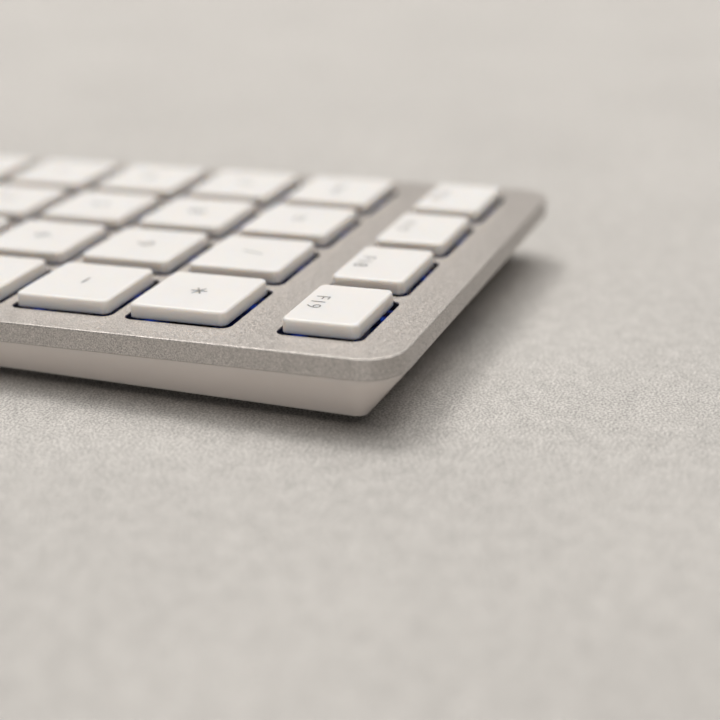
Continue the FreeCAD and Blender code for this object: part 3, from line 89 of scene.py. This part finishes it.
class Shader:
    """Node tree of one material, with short calls for the nodes that the materials share."""

    def __init__(self, name, color, roughness, metallic=0.0, **inputs):
        self.material = bpy.data.materials.new(name)
        self.material.use_nodes = True
        self.tree = self.material.node_tree
        self.surface = self.tree.nodes["Principled BSDF"]
        self.set(self.surface, Base_Color=(*color, 1), Roughness=roughness, Metallic=metallic, **inputs)
        self.color = color
        self.place = self.node("ShaderNodeTexCoord").outputs["Object"]

    def node(self, kind, **settings):
        """New node of a kind, with its settings."""
        made = self.tree.nodes.new(kind)
        for name, setting in settings.items():
            setattr(made, name, setting)
        return made

    @staticmethod
    def set(node, **inputs):
        """Input sockets by name, with _ in place of a space."""
        for name, number in inputs.items():
            node.inputs[name.replace("_", " ")].default_value = number

    def link(self, output, node, name):
        """Join an output to a node's input, given by name or number."""
        self.tree.links.new(output, node.inputs[name])

    def noise(self, size, detail=2.0, roughness=0.5, stretch=None):
        """Noise whose grains are about size metres across."""
        texture = self.node("ShaderNodeTexNoise")
        self.set(texture, Scale=1 / size, Detail=detail, Roughness=roughness)
        place = self.place
        if stretch:
            mapping = self.node("ShaderNodeMapping")
            mapping.inputs["Scale"].default_value = stretch
            self.link(place, mapping, "Vector")
            place = mapping.outputs["Vector"]
        self.link(place, texture, "Vector")
        return texture.outputs["Fac"]

    def cells(self, size):
        """Random colour for each cell of about size metres."""
        texture = self.node("ShaderNodeTexVoronoi")
        self.set(texture, Scale=1 / size)
        self.link(self.place, texture, "Vector")
        return texture.outputs["Color"]

    def spread(self, value, low, high, from_low=0.0, from_high=1.0):
        """Map a value that runs from from_low to from_high to the range low to high."""
        ramp = self.node("ShaderNodeMapRange")
        self.set(ramp, From_Min=from_low, From_Max=from_high, To_Min=low, To_Max=high)
        self.link(value, ramp, "Value")
        return ramp.outputs["Result"]

    def math(self, operation, *terms):
        """Sum, product or other plain operation on outputs and numbers."""
        node = self.node("ShaderNodeMath", operation=operation)
        for index, term in enumerate(terms):
            if isinstance(term, (int, float)):
                node.inputs[index].default_value = term
            else:
                self.tree.links.new(term, node.inputs[index])
        return node.outputs[0]

    def flakes(self, cells, tilt):
        """Tip the surface normal a different way in each cell, by up to about tilt radians."""
        random = self.node("ShaderNodeVectorMath", operation="MULTIPLY_ADD")
        self.link(cells, random, 0)
        random.inputs[1].default_value = (2 * tilt,) * 3
        random.inputs[2].default_value = (-tilt,) * 3
        normal = self.node("ShaderNodeNewGeometry").outputs["Normal"]
        total = self.node("ShaderNodeVectorMath", operation="ADD")
        self.link(normal, total, 0)
        self.link(random.outputs[0], total, 1)
        unit = self.node("ShaderNodeVectorMath", operation="NORMALIZE")
        self.link(total.outputs[0], unit, 0)
        self.link(unit.outputs[0], self.surface, "Normal")

    def within(self, axis, low, high):
        """1 where the distance along an axis lies from low to high, else 0."""
        along = self.node("ShaderNodeVectorMath", operation="DOT_PRODUCT")
        self.link(self.place, along, "Vector")
        along.inputs[1].default_value = axis
        return self.math("COMPARE", along.outputs["Value"], (low + high) / 2, (high - low) / 2)

    def mix_colors(self, share):
        """Mix node run by share, and its two colour inputs."""
        mix = self.node("ShaderNodeMix", data_type="RGBA")
        self.tree.links.new(share, mix.inputs[0])
        return mix, mix.inputs[6], mix.inputs[7]

    def blacken(self, share):
        """Painted shade: turn the surface black and take away its metal and coat where share is 1."""
        mix, painted, shade_black = self.mix_colors(share)
        self.tree.links.new(self.surface.inputs["Base Color"].links[0].from_socket, painted)
        shade_black.default_value = (*RECESS_SHADE_BLACK, 1)
        self.link(mix.outputs[2], self.surface, "Base Color")
        keep = self.math("SUBTRACT", 1.0, share)
        for name in ("Metallic", "Coat Weight"):
            weight = self.math("MULTIPLY", keep, self.surface.inputs[name].default_value)
            self.link(weight, self.surface, name)

    def tint(self, value, low, high):
        """Colour that runs from low to high, each a factor on the base colour."""
        mix, darkest, lightest = self.mix_colors(value)
        darkest.default_value = (*[low * c for c in self.color], 1)
        lightest.default_value = (*[min(1.0, high * c) for c in self.color], 1)
        self.link(mix.outputs[2], self.surface, "Base Color")

    def vary_roughness(self, value, low, high):
        """Roughness that runs from low to high as value goes from 0 to 1."""
        self.link(self.spread(value, low, high), self.surface, "Roughness")

    def bump(self, value, height, strength=1.0):
        """Relief of the given height in metres, stacked on any relief already there."""
        relief = self.node("ShaderNodeBump")
        self.set(relief, Strength=strength, Distance=height)
        self.link(value, relief, "Height")
        already = self.surface.inputs["Normal"]
        if already.is_linked:
            self.link(already.links[0].from_socket, relief, "Normal")
        self.link(relief.outputs["Normal"], self.surface, "Normal")


def keycap_plastic():
    """Warm white moulding with a very fine satin texture."""
    shader = Shader("key_plastic", (0.735, 0.712, 0.698), 0.42, IOR=1.5)
    shader.set(shader.surface, Subsurface_Weight=1.0, Subsurface_Scale=2.2 * MM)
    shader.surface.inputs["Subsurface Radius"].default_value = (1.0, 0.85, 0.7)
    broad = shader.noise(9 * MM, 3)
    shader.tint(broad, 0.985, 1.015)
    grain = shader.noise(0.09 * MM, 2)
    shader.vary_roughness(grain, 0.34, 0.5)
    shader.bump(grain, 0.004 * MM, 0.35)
    return shader.material


def silver_paint():
    """Warm silver lacquer outside, with metal flake under a satin film, a few flake cells made lighter as
    painted glints, and black painted shade inside.
    """
    shader = Shader("silver_paint", (0.46, 0.43, 0.406), 0.45, 0.5, IOR=1.5)
    shader.set(shader.surface, Coat_Weight=0.2, Coat_Roughness=0.25)
    flake = shader.cells(0.14 * MM)
    split = shader.node("ShaderNodeSeparateColor")
    shader.link(flake, split, "Color")
    fine = shader.noise(0.16 * MM, 2, 0.6)
    # Painted glint: a few random flake cells get a much lighter base colour, standing in for flakes catching
    # the light; the fine grain is the paint's own tone.
    painted_glint_share, grain_share = 0.008, 0.62
    painted_glint = shader.math("GREATER_THAN", split.outputs["Blue"], 1 - painted_glint_share)
    painted_sparkle = shader.math("MULTIPLY", painted_glint, 1 - grain_share)
    grain = shader.spread(fine, 0, grain_share, 0.38, 0.62)
    shader.tint(shader.math("ADD", grain, painted_sparkle), 0.62, 1.9)
    shader.vary_roughness(split.outputs["Green"], 0.32, 0.52)
    shader.flakes(flake, 0.13)
    shader.bump(fine, 0.01 * MM, 0.3)
    low, high = deck_box("top_cover")
    # Painted shade: inside the rim and deeper than a thin film under the top, the key wells' walls and the
    # roof's underside are turned black.
    rim, film = 3 * MM, 0.25 * MM
    inside = shader.math(
        "MULTIPLY",
        shader.within(DECK_RIGHT, low.x + rim, high.x - rim),
        shader.within(DECK_REAR, low.y + rim, high.y - rim),
    )
    shader.blacken(shader.math("MULTIPLY", inside, shader.within(DECK_UP, low.z - rim, high.z - film)))
    return shader.material


def gloss_white():
    """Polished warm grey-white shell with a trace of moulding waviness and handling marks."""
    shader = Shader("base_plastic", (0.71, 0.65, 0.61), 0.22, IOR=1.5)
    shader.set(shader.surface, Subsurface_Weight=0.5, Subsurface_Scale=1.6 * MM)
    shader.surface.inputs["Subsurface Radius"].default_value = (1.0, 0.9, 0.8)
    broad = shader.noise(14 * MM, 3)
    shader.tint(broad, 0.98, 1.015)
    shader.vary_roughness(shader.noise(2.5 * MM, 4), 0.16, 0.3)
    shader.bump(broad, 0.05 * MM, 0.12)
    return shader.material


def blue_film():
    """Saturated blue polyester foil over a dark plate."""
    shader = Shader("blue_film", (0.012, 0.055, 0.42), 0.22, IOR=1.6)
    shader.tint(shader.noise(4 * MM, 2), 0.75, 1.25)
    shader.bump(shader.noise(3 * MM, 2), 0.05 * MM, 0.3)
    return shader.material


def clear_film():
    """Milky clear polyester foil."""
    shader = Shader("clear_film", (0.62, 0.68, 0.72), 0.18, IOR=1.6)
    shader.set(shader.surface, Transmission_Weight=0.35)
    shader.tint(shader.noise(5 * MM, 2), 0.92, 1.05)
    shader.bump(shader.noise(3 * MM, 2), 0.04 * MM, 0.25)
    return shader.material


def dark_plastic(name="dark_plastic", color=(0.012, 0.012, 0.014), grain_size=0.12):
    """Moulded technical plastic with a fine spark texture."""
    shader = Shader(name, color, 0.45, IOR=1.52)
    grain = shader.noise(grain_size * MM, 2)
    shader.tint(grain, 0.8, 1.25)
    shader.vary_roughness(grain, 0.36, 0.58)
    shader.bump(grain, 0.008 * MM, 0.4)
    return shader.material


def silicone():
    """Translucent soft silicone."""
    shader = Shader("silicone", (0.74, 0.76, 0.79), 0.4, IOR=1.41)
    shader.set(shader.surface, Subsurface_Weight=0.35, Subsurface_Scale=0.6 * MM)
    shader.tint(shader.noise(1.5 * MM, 3), 0.94, 1.04)
    shader.bump(shader.noise(0.1 * MM, 2), 0.004 * MM, 0.3)
    return shader.material


def sheet_metal(name, color, roughness, along=(1, 30, 30)):
    """Rolled or drawn metal with a fine grain along one axis."""
    shader = Shader(name, color, roughness, 1.0)
    grain = shader.noise(3 * MM, 4, 0.7, stretch=along)
    shader.tint(grain, 0.86, 1.1)
    shader.vary_roughness(grain, roughness * 0.75, roughness * 1.3)
    shader.bump(grain, 0.006 * MM, 0.25)
    return shader.material


def rubber(name, color):
    """Dull rubber with a coarse grain."""
    shader = Shader(name, color, 0.75, IOR=1.45)
    grain = shader.noise(0.35 * MM, 4, 0.65)
    shader.tint(grain, 0.82, 1.12)
    shader.vary_roughness(grain, 0.62, 0.86)
    shader.bump(grain, 0.03 * MM, 0.5)
    return shader.material


def circuit_board():
    """Green solder mask with faint copper runs under it."""
    shader = Shader("circuit_board", (0.01, 0.10, 0.035), 0.28, IOR=1.55)
    runs = shader.node("ShaderNodeTexBrick")
    shader.set(runs, Scale=1 / (3 * MM), Mortar_Size=0.012, Mortar_Smooth=0.1)
    shader.link(shader.place, runs, "Vector")
    shader.tint(shader.spread(runs.outputs["Fac"], 0, 1), 0.85, 1.7)
    shader.bump(runs.outputs["Fac"], 0.02 * MM, 0.3)
    return shader.material


def ceramic():
    """Brown ceramic of the small parts on the board."""
    shader = Shader("ceramic", (0.30, 0.20, 0.12), 0.5, IOR=1.6)
    grain = shader.noise(0.15 * MM, 3)
    shader.tint(grain, 0.85, 1.15)
    shader.bump(grain, 0.006 * MM, 0.4)
    return shader.material


def legend_ink():
    """Soft grey printing ink."""
    shader = Shader("legend_ink", (0.2, 0.195, 0.19), 0.55, IOR=1.5)
    shader.tint(shader.noise(0.08 * MM, 2), 0.9, 1.12)
    shader.bump(shader.noise(0.05 * MM, 2), 0.002 * MM, 0.3)
    return shader.material


def paint_nodes():
    """Give every CAD node its material, and return the materials of the nodes other than keycaps."""
    steel = sheet_metal("plate_steel", (0.23, 0.23, 0.24), 0.42)
    bright = sheet_metal("tinned_steel", (0.72, 0.71, 0.70), 0.24)
    screw = sheet_metal("screw_steel", (0.16, 0.16, 0.17), 0.34)
    dark = dark_plastic()
    key = keycap_plastic()
    film = clear_film()
    chosen = {
        "top_cover": silver_paint(),
        "base_shell": gloss_white(),
        "support_plate": steel,
        "membrane_top": blue_film(),
        "membrane_spacer": film,
        "membrane_bottom": film,
        "scissor_outer_frames": dark,
        "scissor_inner_frames": dark,
        "rubber_domes": silicone(),
        "enter_stabiliser": bright,
        "zero_stabiliser": bright,
        "controller_board": circuit_board(),
        "controller_chip": dark_plastic("chip_epoxy", (0.01, 0.01, 0.01), 0.2),
        "crystal_can": bright,
        "board_components": ceramic(),
        "membrane_clamp": dark,
        "board_screws": screw,
        "case_screws": screw,
        "usb_c_socket": bright,
        "usb_c_tongue": dark,
        "usb_c_contacts": sheet_metal("contact_gold", (0.80, 0.56, 0.22), 0.22),
        "rubber_feet": rubber("foot_rubber", (0.30, 0.30, 0.31)),
    }
    for node, piece in NODES.items():
        material = chosen.get(node, key)
        piece.data.materials.clear()
        piece.data.materials.append(material)
    return chosen


# ---------------------------------------------------------------- meshes shared out per key

# Radius of the scissor's upper bars, whose middles lie in the key's clips.
BAR_RADIUS = 0.4 * MM
WELD_DISTANCE = 0.001 * MM
SHARP_EDGE = math.radians(35)


def polygons_of_key(centres, key):
    """Indices of the polygons whose centres lie inside a key's outline."""
    low, high = deck_box(key)
    inside = (
        (centres[:, 0] > low.x) & (centres[:, 0] < high.x)
        & (centres[:, 1] > low.y) & (centres[:, 1] < high.y)
    )
    return np.nonzero(inside)[0]


def sprung_parts(node, short_name, keep, material):
    """One piece per key from a group node, cut out along the key's outline and attached to the case."""
    mesh = NODES[node].data
    centres = np.array([polygon.center for polygon in mesh.polygons]) @ np.array(DECK_AXES).T
    coordinates = [vertex.co.copy() for vertex in mesh.vertices]
    anchor = from_deck((0, 0, deck_box("membrane_top")[1].z))
    for key in KEYS:
        index = polygons_of_key(centres, key)
        builder = bmesh.new()
        placed = {}
        for polygon in (mesh.polygons[i] for i in index):
            corners = []
            for vertex in polygon.vertices:
                if vertex not in placed:
                    placed[vertex] = builder.verts.new(coordinates[vertex])
                corners.append(placed[vertex])
            builder.faces.new(corners)
        bmesh.ops.remove_doubles(builder, verts=builder.verts, dist=WELD_DISTANCE)
        bmesh.ops.recalc_face_normals(builder, faces=builder.faces)
        piece_mesh = bpy.data.meshes.new(f"{short_name}_{key}")
        builder.to_mesh(piece_mesh)
        builder.free()
        piece_mesh.materials.append(material)
        piece = bpy.data.objects.new(f"{short_name}_{key}", piece_mesh)
        bpy.context.scene.collection.objects.link(piece)
        piece_mesh.shade_smooth()
        piece_mesh.set_sharp_from_angle(angle=SHARP_EDGE)
        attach(piece, "case")
        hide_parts(node)
        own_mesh(piece)


def flattened_share(node, held_below_top):
    """Share of its height that a sprung part keeps when its key is fully down.

    The level at which the key holds it, given as a depth under its top, sinks by the key's full travel.
    """
    foot = deck_box("membrane_top")[1].z
    travel = max(PRESS[KEYS[0]]["range_m"])
    height = deck_box(node)[1].z - held_below_top - foot
    return (height - travel) / height


# ---------------------------------------------------------------- legends

DIGITS = {f"key_{digit}": str(digit) for digit in range(10)}
FUNCTIONS = {f"key_f{number}": f"F{number}" for number in range(16, 20)}
SIGNS = {"key_equals": "=", "key_divide": "/", "key_minus": "−", "key_plus": "+", "key_decimal": "."}
WORDS = {"key_clear": "clear", "key_enter": "enter"}

# Half the thickness of the print, and how widely and thinly its letters are set.
HALF_PRINT = 0.012 * MM
LETTER_SPACING = 1.12
STROKE_THINNING = 0.016
STEPS_PER_CURVE = 6
LEGEND_WELD_DISTANCE = 0.0001 * MM


def print_mesh(name, words, height):
    """Flat letters of a given type size with the slight thickness of printing ink."""
    curve = bpy.data.curves.new(f"{name}_curve", "FONT")
    curve.body = words
    curve.size = height
    curve.space_character = LETTER_SPACING
    curve.extrude = HALF_PRINT
    curve.offset = -STROKE_THINNING * height
    curve.resolution_u = STEPS_PER_CURVE
    text = bpy.data.objects.new(f"{name}_text", curve)
    bpy.context.scene.collection.objects.link(text)
    bpy.context.view_layer.update()
    mesh = bpy.data.meshes.new_from_object(text.evaluated_get(bpy.context.evaluated_depsgraph_get()))
    bpy.data.objects.remove(text)
    return mesh


def star_mesh(name, length, width):
    """Three printed strokes crossed at equal angles, one of them along the cap's depth."""
    builder = bmesh.new()
    for turn in (90, 30, -30):
        stroke = bmesh.ops.create_cube(builder, size=1.0)["verts"]
        bmesh.ops.scale(builder, vec=(length, width, 2 * HALF_PRINT), verts=stroke)
        bmesh.ops.rotate(builder, matrix=Matrix.Rotation(math.radians(turn), 3, "Z"), verts=stroke)
    mesh = bpy.data.meshes.new(name)
    builder.to_mesh(mesh)
    builder.free()
    return mesh


def legend(key, mesh, forward, ink):
    """Print centred on a cap, moved forward of its middle by a share of the cap's depth."""
    low, high = deck_box(key)
    points = mesh_points(mesh)
    middle = (points.min(0) + points.max(0)) / 2
    across, along = (low.x + high.x) / 2, (low.y + high.y) / 2 - forward * (high.y - low.y)
    centre = from_deck((across, along, high.z + HALF_PRINT / 2))
    turn = DECK_AXES.transposed().to_4x4()
    mesh.transform(Matrix.Translation(centre) @ turn @ Matrix.Translation(-Vector(middle)))
    builder = bmesh.new()
    builder.from_mesh(mesh)
    bmesh.ops.remove_doubles(builder, verts=builder.verts, dist=LEGEND_WELD_DISTANCE)
    bmesh.ops.recalc_face_normals(builder, faces=builder.faces)
    builder.to_mesh(mesh)
    builder.free()
    mesh.materials.clear()
    mesh.materials.append(ink)
    piece = bpy.data.objects.new(f"legend_{key}", mesh)
    bpy.context.scene.collection.objects.link(piece)
    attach(piece, key)


def legends():
    """Names on the function keys, words, digits and signs."""
    ink = legend_ink()
    legend("key_multiply", star_mesh("legend_star", 2.6 * MM, 0.24 * MM), 0.0, ink)
    for prints, height, forward in (
        (FUNCTIONS, 3.3 * MM, 0.27), (DIGITS, 4.6 * MM, 0.0), (SIGNS, 5.6 * MM, 0.0), (WORDS, 2.8 * MM, 0.0),
    ):
        for key, words in prints.items():
            legend(key, print_mesh(f"legend_{key}", words, height), forward, ink)


# ---------------------------------------------------------------- stage, light and camera

FLOOR_HALF_WIDTH = 3.0
LIGHT_DISTANCE = 1.6
LIGHT_COLOR = (1.0, 0.97, 0.93)


def floor():
    """Pale, finely speckled surface under the keypad."""
    shader = Shader("floor", (0.52, 0.503, 0.483), 0.75, IOR=1.45)
    broad = shader.spread(shader.noise(45 * MM, 3), 0, 0.2)
    mottle = shader.spread(shader.noise(3 * MM, 4, 0.6), 0, 0.25, 0.25, 0.75)
    speckle = shader.spread(shader.noise(0.36 * MM, 3, 0.7), 0, 0.55, 0.43, 0.57)
    shader.tint(shader.math("ADD", shader.math("ADD", broad, mottle), speckle), 0.45, 1.42)
    shader.bump(speckle, 0.15 * MM, 0.6)
    mesh = bpy.data.meshes.new("floor")
    builder = bmesh.new()
    bmesh.ops.create_grid(builder, x_segments=1, y_segments=1, size=FLOOR_HALF_WIDTH)
    builder.to_mesh(mesh)
    builder.free()
    mesh.materials.append(shader.material)
    plane = bpy.data.objects.new("floor", mesh)
    bpy.context.scene.collection.objects.link(plane)


def soft_light(name, azimuth, elevation, width, height, power):
    """Area light aimed at the keypad. Azimuth 0 is in front of it and 90 at its right."""
    lamp = bpy.data.lights.new(name, "AREA")
    lamp.shape = "RECTANGLE"
    lamp.size, lamp.size_y = width, height
    lamp.energy = power
    lamp.color = LIGHT_COLOR
    light = bpy.data.objects.new(name, lamp)
    bpy.context.scene.collection.objects.link(light)
    around, up = math.radians(azimuth), math.radians(elevation)
    across = math.cos(up)
    direction = Vector((math.sin(around) * across, -math.cos(around) * across, math.sin(up)))
    light.location = direction * LIGHT_DISTANCE
    light.rotation_mode = "QUATERNION"
    light.rotation_quaternion = direction.to_track_quat("Z", "Y")


def room_light(color, strength):
    """Faint even light from all round."""
    world = bpy.data.worlds.new("room")
    world.use_nodes = True
    background = world.node_tree.nodes["Background"]
    background.inputs["Color"].default_value = (*color, 1)
    background.inputs["Strength"].default_value = strength
    bpy.context.scene.world = world


def lighting():
    """One large softbox overhead in panels of unequal strength, and a dim pale wall at the right."""
    room_light((0.95, 0.97, 1.0), 0.02)
    for name, azimuth, elevation, width, height, power in (
        ("overhead", -68, 77, 1.6, 0.75, 14),
        ("overhead_near", 112, 77, 1.6, 0.75, 6.5),
        ("left", -68, 52, 1.6, 0.75, 9),
        ("rear", -158, 55, 1.2, 0.8, 4),
        ("bright_middle", -39, 66, 0.45, 0.45, 9),
        ("wall", 96, 5, 1.6, 0.24, 5.5),
    ):
        soft_light(name, azimuth, elevation, width, height, power)


VIEW_AZIMUTH, VIEW_ELEVATION, VIEW_ROLL = math.radians(110.757), math.radians(22.403), math.radians(-0.49)
VIEW_DISTANCE = 216.83 * MM
FOCAL_LENGTH, SENSOR_WIDTH = 76.23, 36
# The focused key sits left of the picture's middle and above it.
AIM_RIGHT, AIM_DOWN = 3.05 * MM, 8.01 * MM
CLOSE_UP_STOP, FAR_STOP = 10, 400
# Beyond this many times the close-up's distance, the whole object is kept sharp.
FAR_VIEW = 1.15


def camera():
    """Low close-up of the rear right-hand corner, focused on the nearest function key."""
    key_low, key_high = deck_box("key_f19")
    focus = from_deck(((key_low.x + key_high.x) / 2, (key_low.y + key_high.y) / 2, key_high.z))
    across, upward = math.cos(VIEW_ELEVATION), math.sin(VIEW_ELEVATION)
    back = Vector((math.sin(VIEW_AZIMUTH) * across, -math.cos(VIEW_AZIMUTH) * across, upward))
    level = Vector((math.cos(VIEW_AZIMUTH), math.sin(VIEW_AZIMUTH), 0))
    turn = Matrix((level, back.cross(level), back)).transposed() @ Matrix.Rotation(VIEW_ROLL, 3, "Z")
    right, up = turn.col[0], turn.col[1]
    aim = focus + AIM_RIGHT * right - AIM_DOWN * up
    lens = bpy.data.cameras.new("close_up")
    lens.lens = FOCAL_LENGTH
    lens.sensor_width = SENSOR_WIDTH
    lens.clip_start = 10 * MM
    viewer = bpy.data.objects.new("close_up", lens)
    bpy.context.scene.collection.objects.link(viewer)
    viewer.location = aim + back * VIEW_DISTANCE
    viewer.rotation_mode = "QUATERNION"
    viewer.rotation_quaternion = turn.to_quaternion()
    bpy.context.scene.camera = viewer
    depth_of_field(viewer, focus)


def depth_of_field(viewer, focus):
    """Shallow focus at the close-up's distance, and everything sharp from farther away."""
    target = bpy.data.objects.new("focus", None)
    bpy.context.scene.collection.objects.link(target)
    target.location = focus
    field = viewer.data.dof
    field.use_dof = True
    field.focus_object = target
    driver = field.driver_add("aperture_fstop").driver
    gap = driver.variables.new()
    gap.name = "gap"
    gap.type = "LOC_DIFF"
    gap.targets[0].id = viewer
    gap.targets[1].id = target
    driver.expression = f"{CLOSE_UP_STOP} if gap < {FAR_VIEW * VIEW_DISTANCE:.4f} else {FAR_STOP}"


def color_management():
    """Plain colours, with no film look."""
    view = bpy.context.scene.view_settings
    view.view_transform = "Standard"
    view.look = "None"
    view.exposure = 0.0


chosen_materials = paint_nodes()
for group, short_name, held_below_top in (
    ("scissor_outer_frames", "scissor_outer", BAR_RADIUS),
    ("scissor_inner_frames", "scissor_inner", BAR_RADIUS),
    ("rubber_domes", "dome", 0),
):
    sprung_parts(group, short_name, flattened_share(group, held_below_top), chosen_materials[group])
legends()
floor()
lighting()
camera()
color_management()
